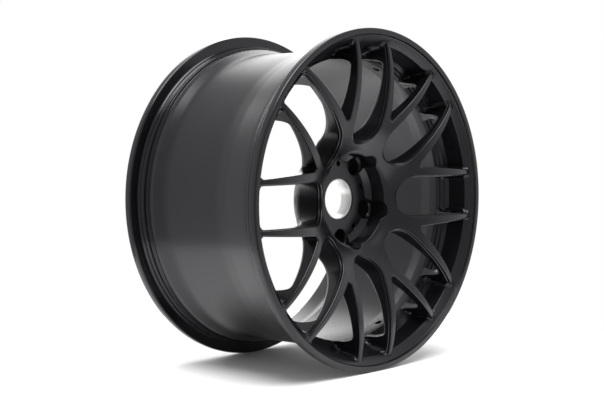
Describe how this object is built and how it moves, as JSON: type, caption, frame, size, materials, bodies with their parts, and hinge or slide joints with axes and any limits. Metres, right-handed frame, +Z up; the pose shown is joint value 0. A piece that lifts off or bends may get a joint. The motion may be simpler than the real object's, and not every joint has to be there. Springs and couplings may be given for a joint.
{
  "type": "racing wheel rim",
  "caption": "Forged racing wheel rim with forked straight spokes, a deep recessed hub, a dished lip and a wide barrel.",
  "frame": {"origin": "on the wheel's axis, at the middle of the overall width (the centre of the bounding box)", "axes": "+Y along the wheel's axis, from the face towards the vehicle side; -Y is the spoked face; +Z up; +X to the right as seen from the face"},
  "size_m": [0.4918, 0.2674, 0.4918],
  "materials": {
    "satin_black_coating": "satin black coating over forged aluminium",
    "machined_aluminium": "bare machined aluminium with fine turning lines"
  },
  "bodies": {
    "root": {"front_lip": "satin_black_coating", "rim_barrel": "satin_black_coating", "rear_flange": "satin_black_coating", "hub_center": "satin_black_coating", "spoke_1a": "satin_black_coating", "spoke_1b": "satin_black_coating", "spoke_2a": "satin_black_coating", "spoke_2b": "satin_black_coating", "spoke_3a": "satin_black_coating", "spoke_3b": "satin_black_coating", "spoke_4a": "satin_black_coating", "spoke_4b": "satin_black_coating", "spoke_5a": "satin_black_coating", "spoke_5b": "satin_black_coating", "spoke_6a": "satin_black_coating", "spoke_6b": "satin_black_coating", "spoke_7a": "satin_black_coating", "spoke_7b": "satin_black_coating", "spoke_8a": "satin_black_coating", "spoke_8b": "satin_black_coating", "hub_ring": "machined_aluminium"}
  },
  "joints": []
}
